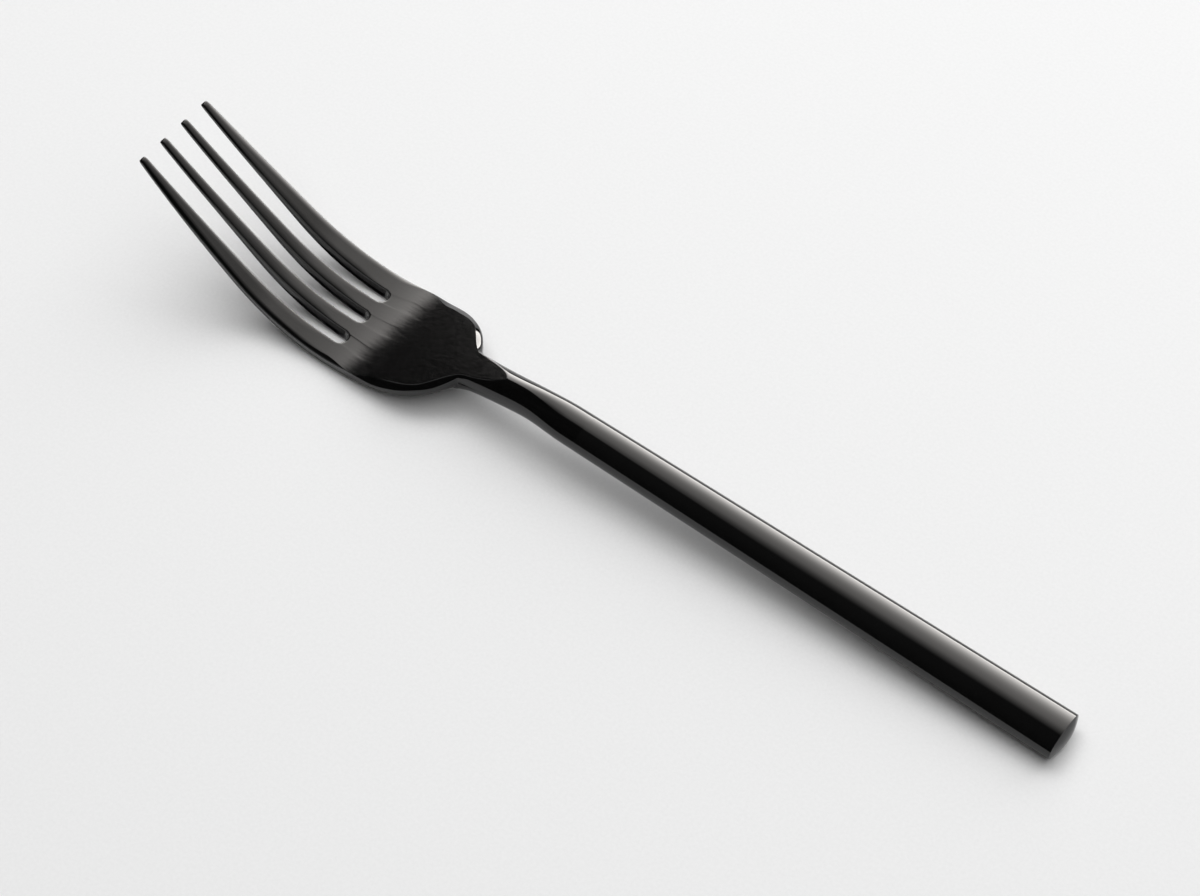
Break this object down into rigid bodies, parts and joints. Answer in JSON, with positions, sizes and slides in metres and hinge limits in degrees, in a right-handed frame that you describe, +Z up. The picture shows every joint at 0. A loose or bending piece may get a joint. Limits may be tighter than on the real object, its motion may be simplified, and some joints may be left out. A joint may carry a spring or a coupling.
{
  "type": "dinner fork",
  "caption": "Slim table fork with a long straight tapered handle, a round neck, a flat ground tongue and slender upswept tines, gloss black all over",
  "frame": {"origin": "On the table under the middle of the fork's length and width", "axes": "+X runs from the tines to the handle end, +Y is across the fork to the left of someone who looks from the tines along the handle with the tines curving up, +Z is up from the table"},
  "size_m": [0.2066, 0.025, 0.0269],
  "materials": {
    "black_head": "gloss black coat over brushed steel",
    "black_handle": "gloss black coat over polished steel",
    "cement": "matte"
  },
  "bodies": {
    "root": {"fork_head": "black_head", "handle_upper_shell": "black_handle", "handle_lower_shell": "black_handle", "handle_end_cap": "black_handle", "handle_filler": "cement"}
  },
  "joints": []
}
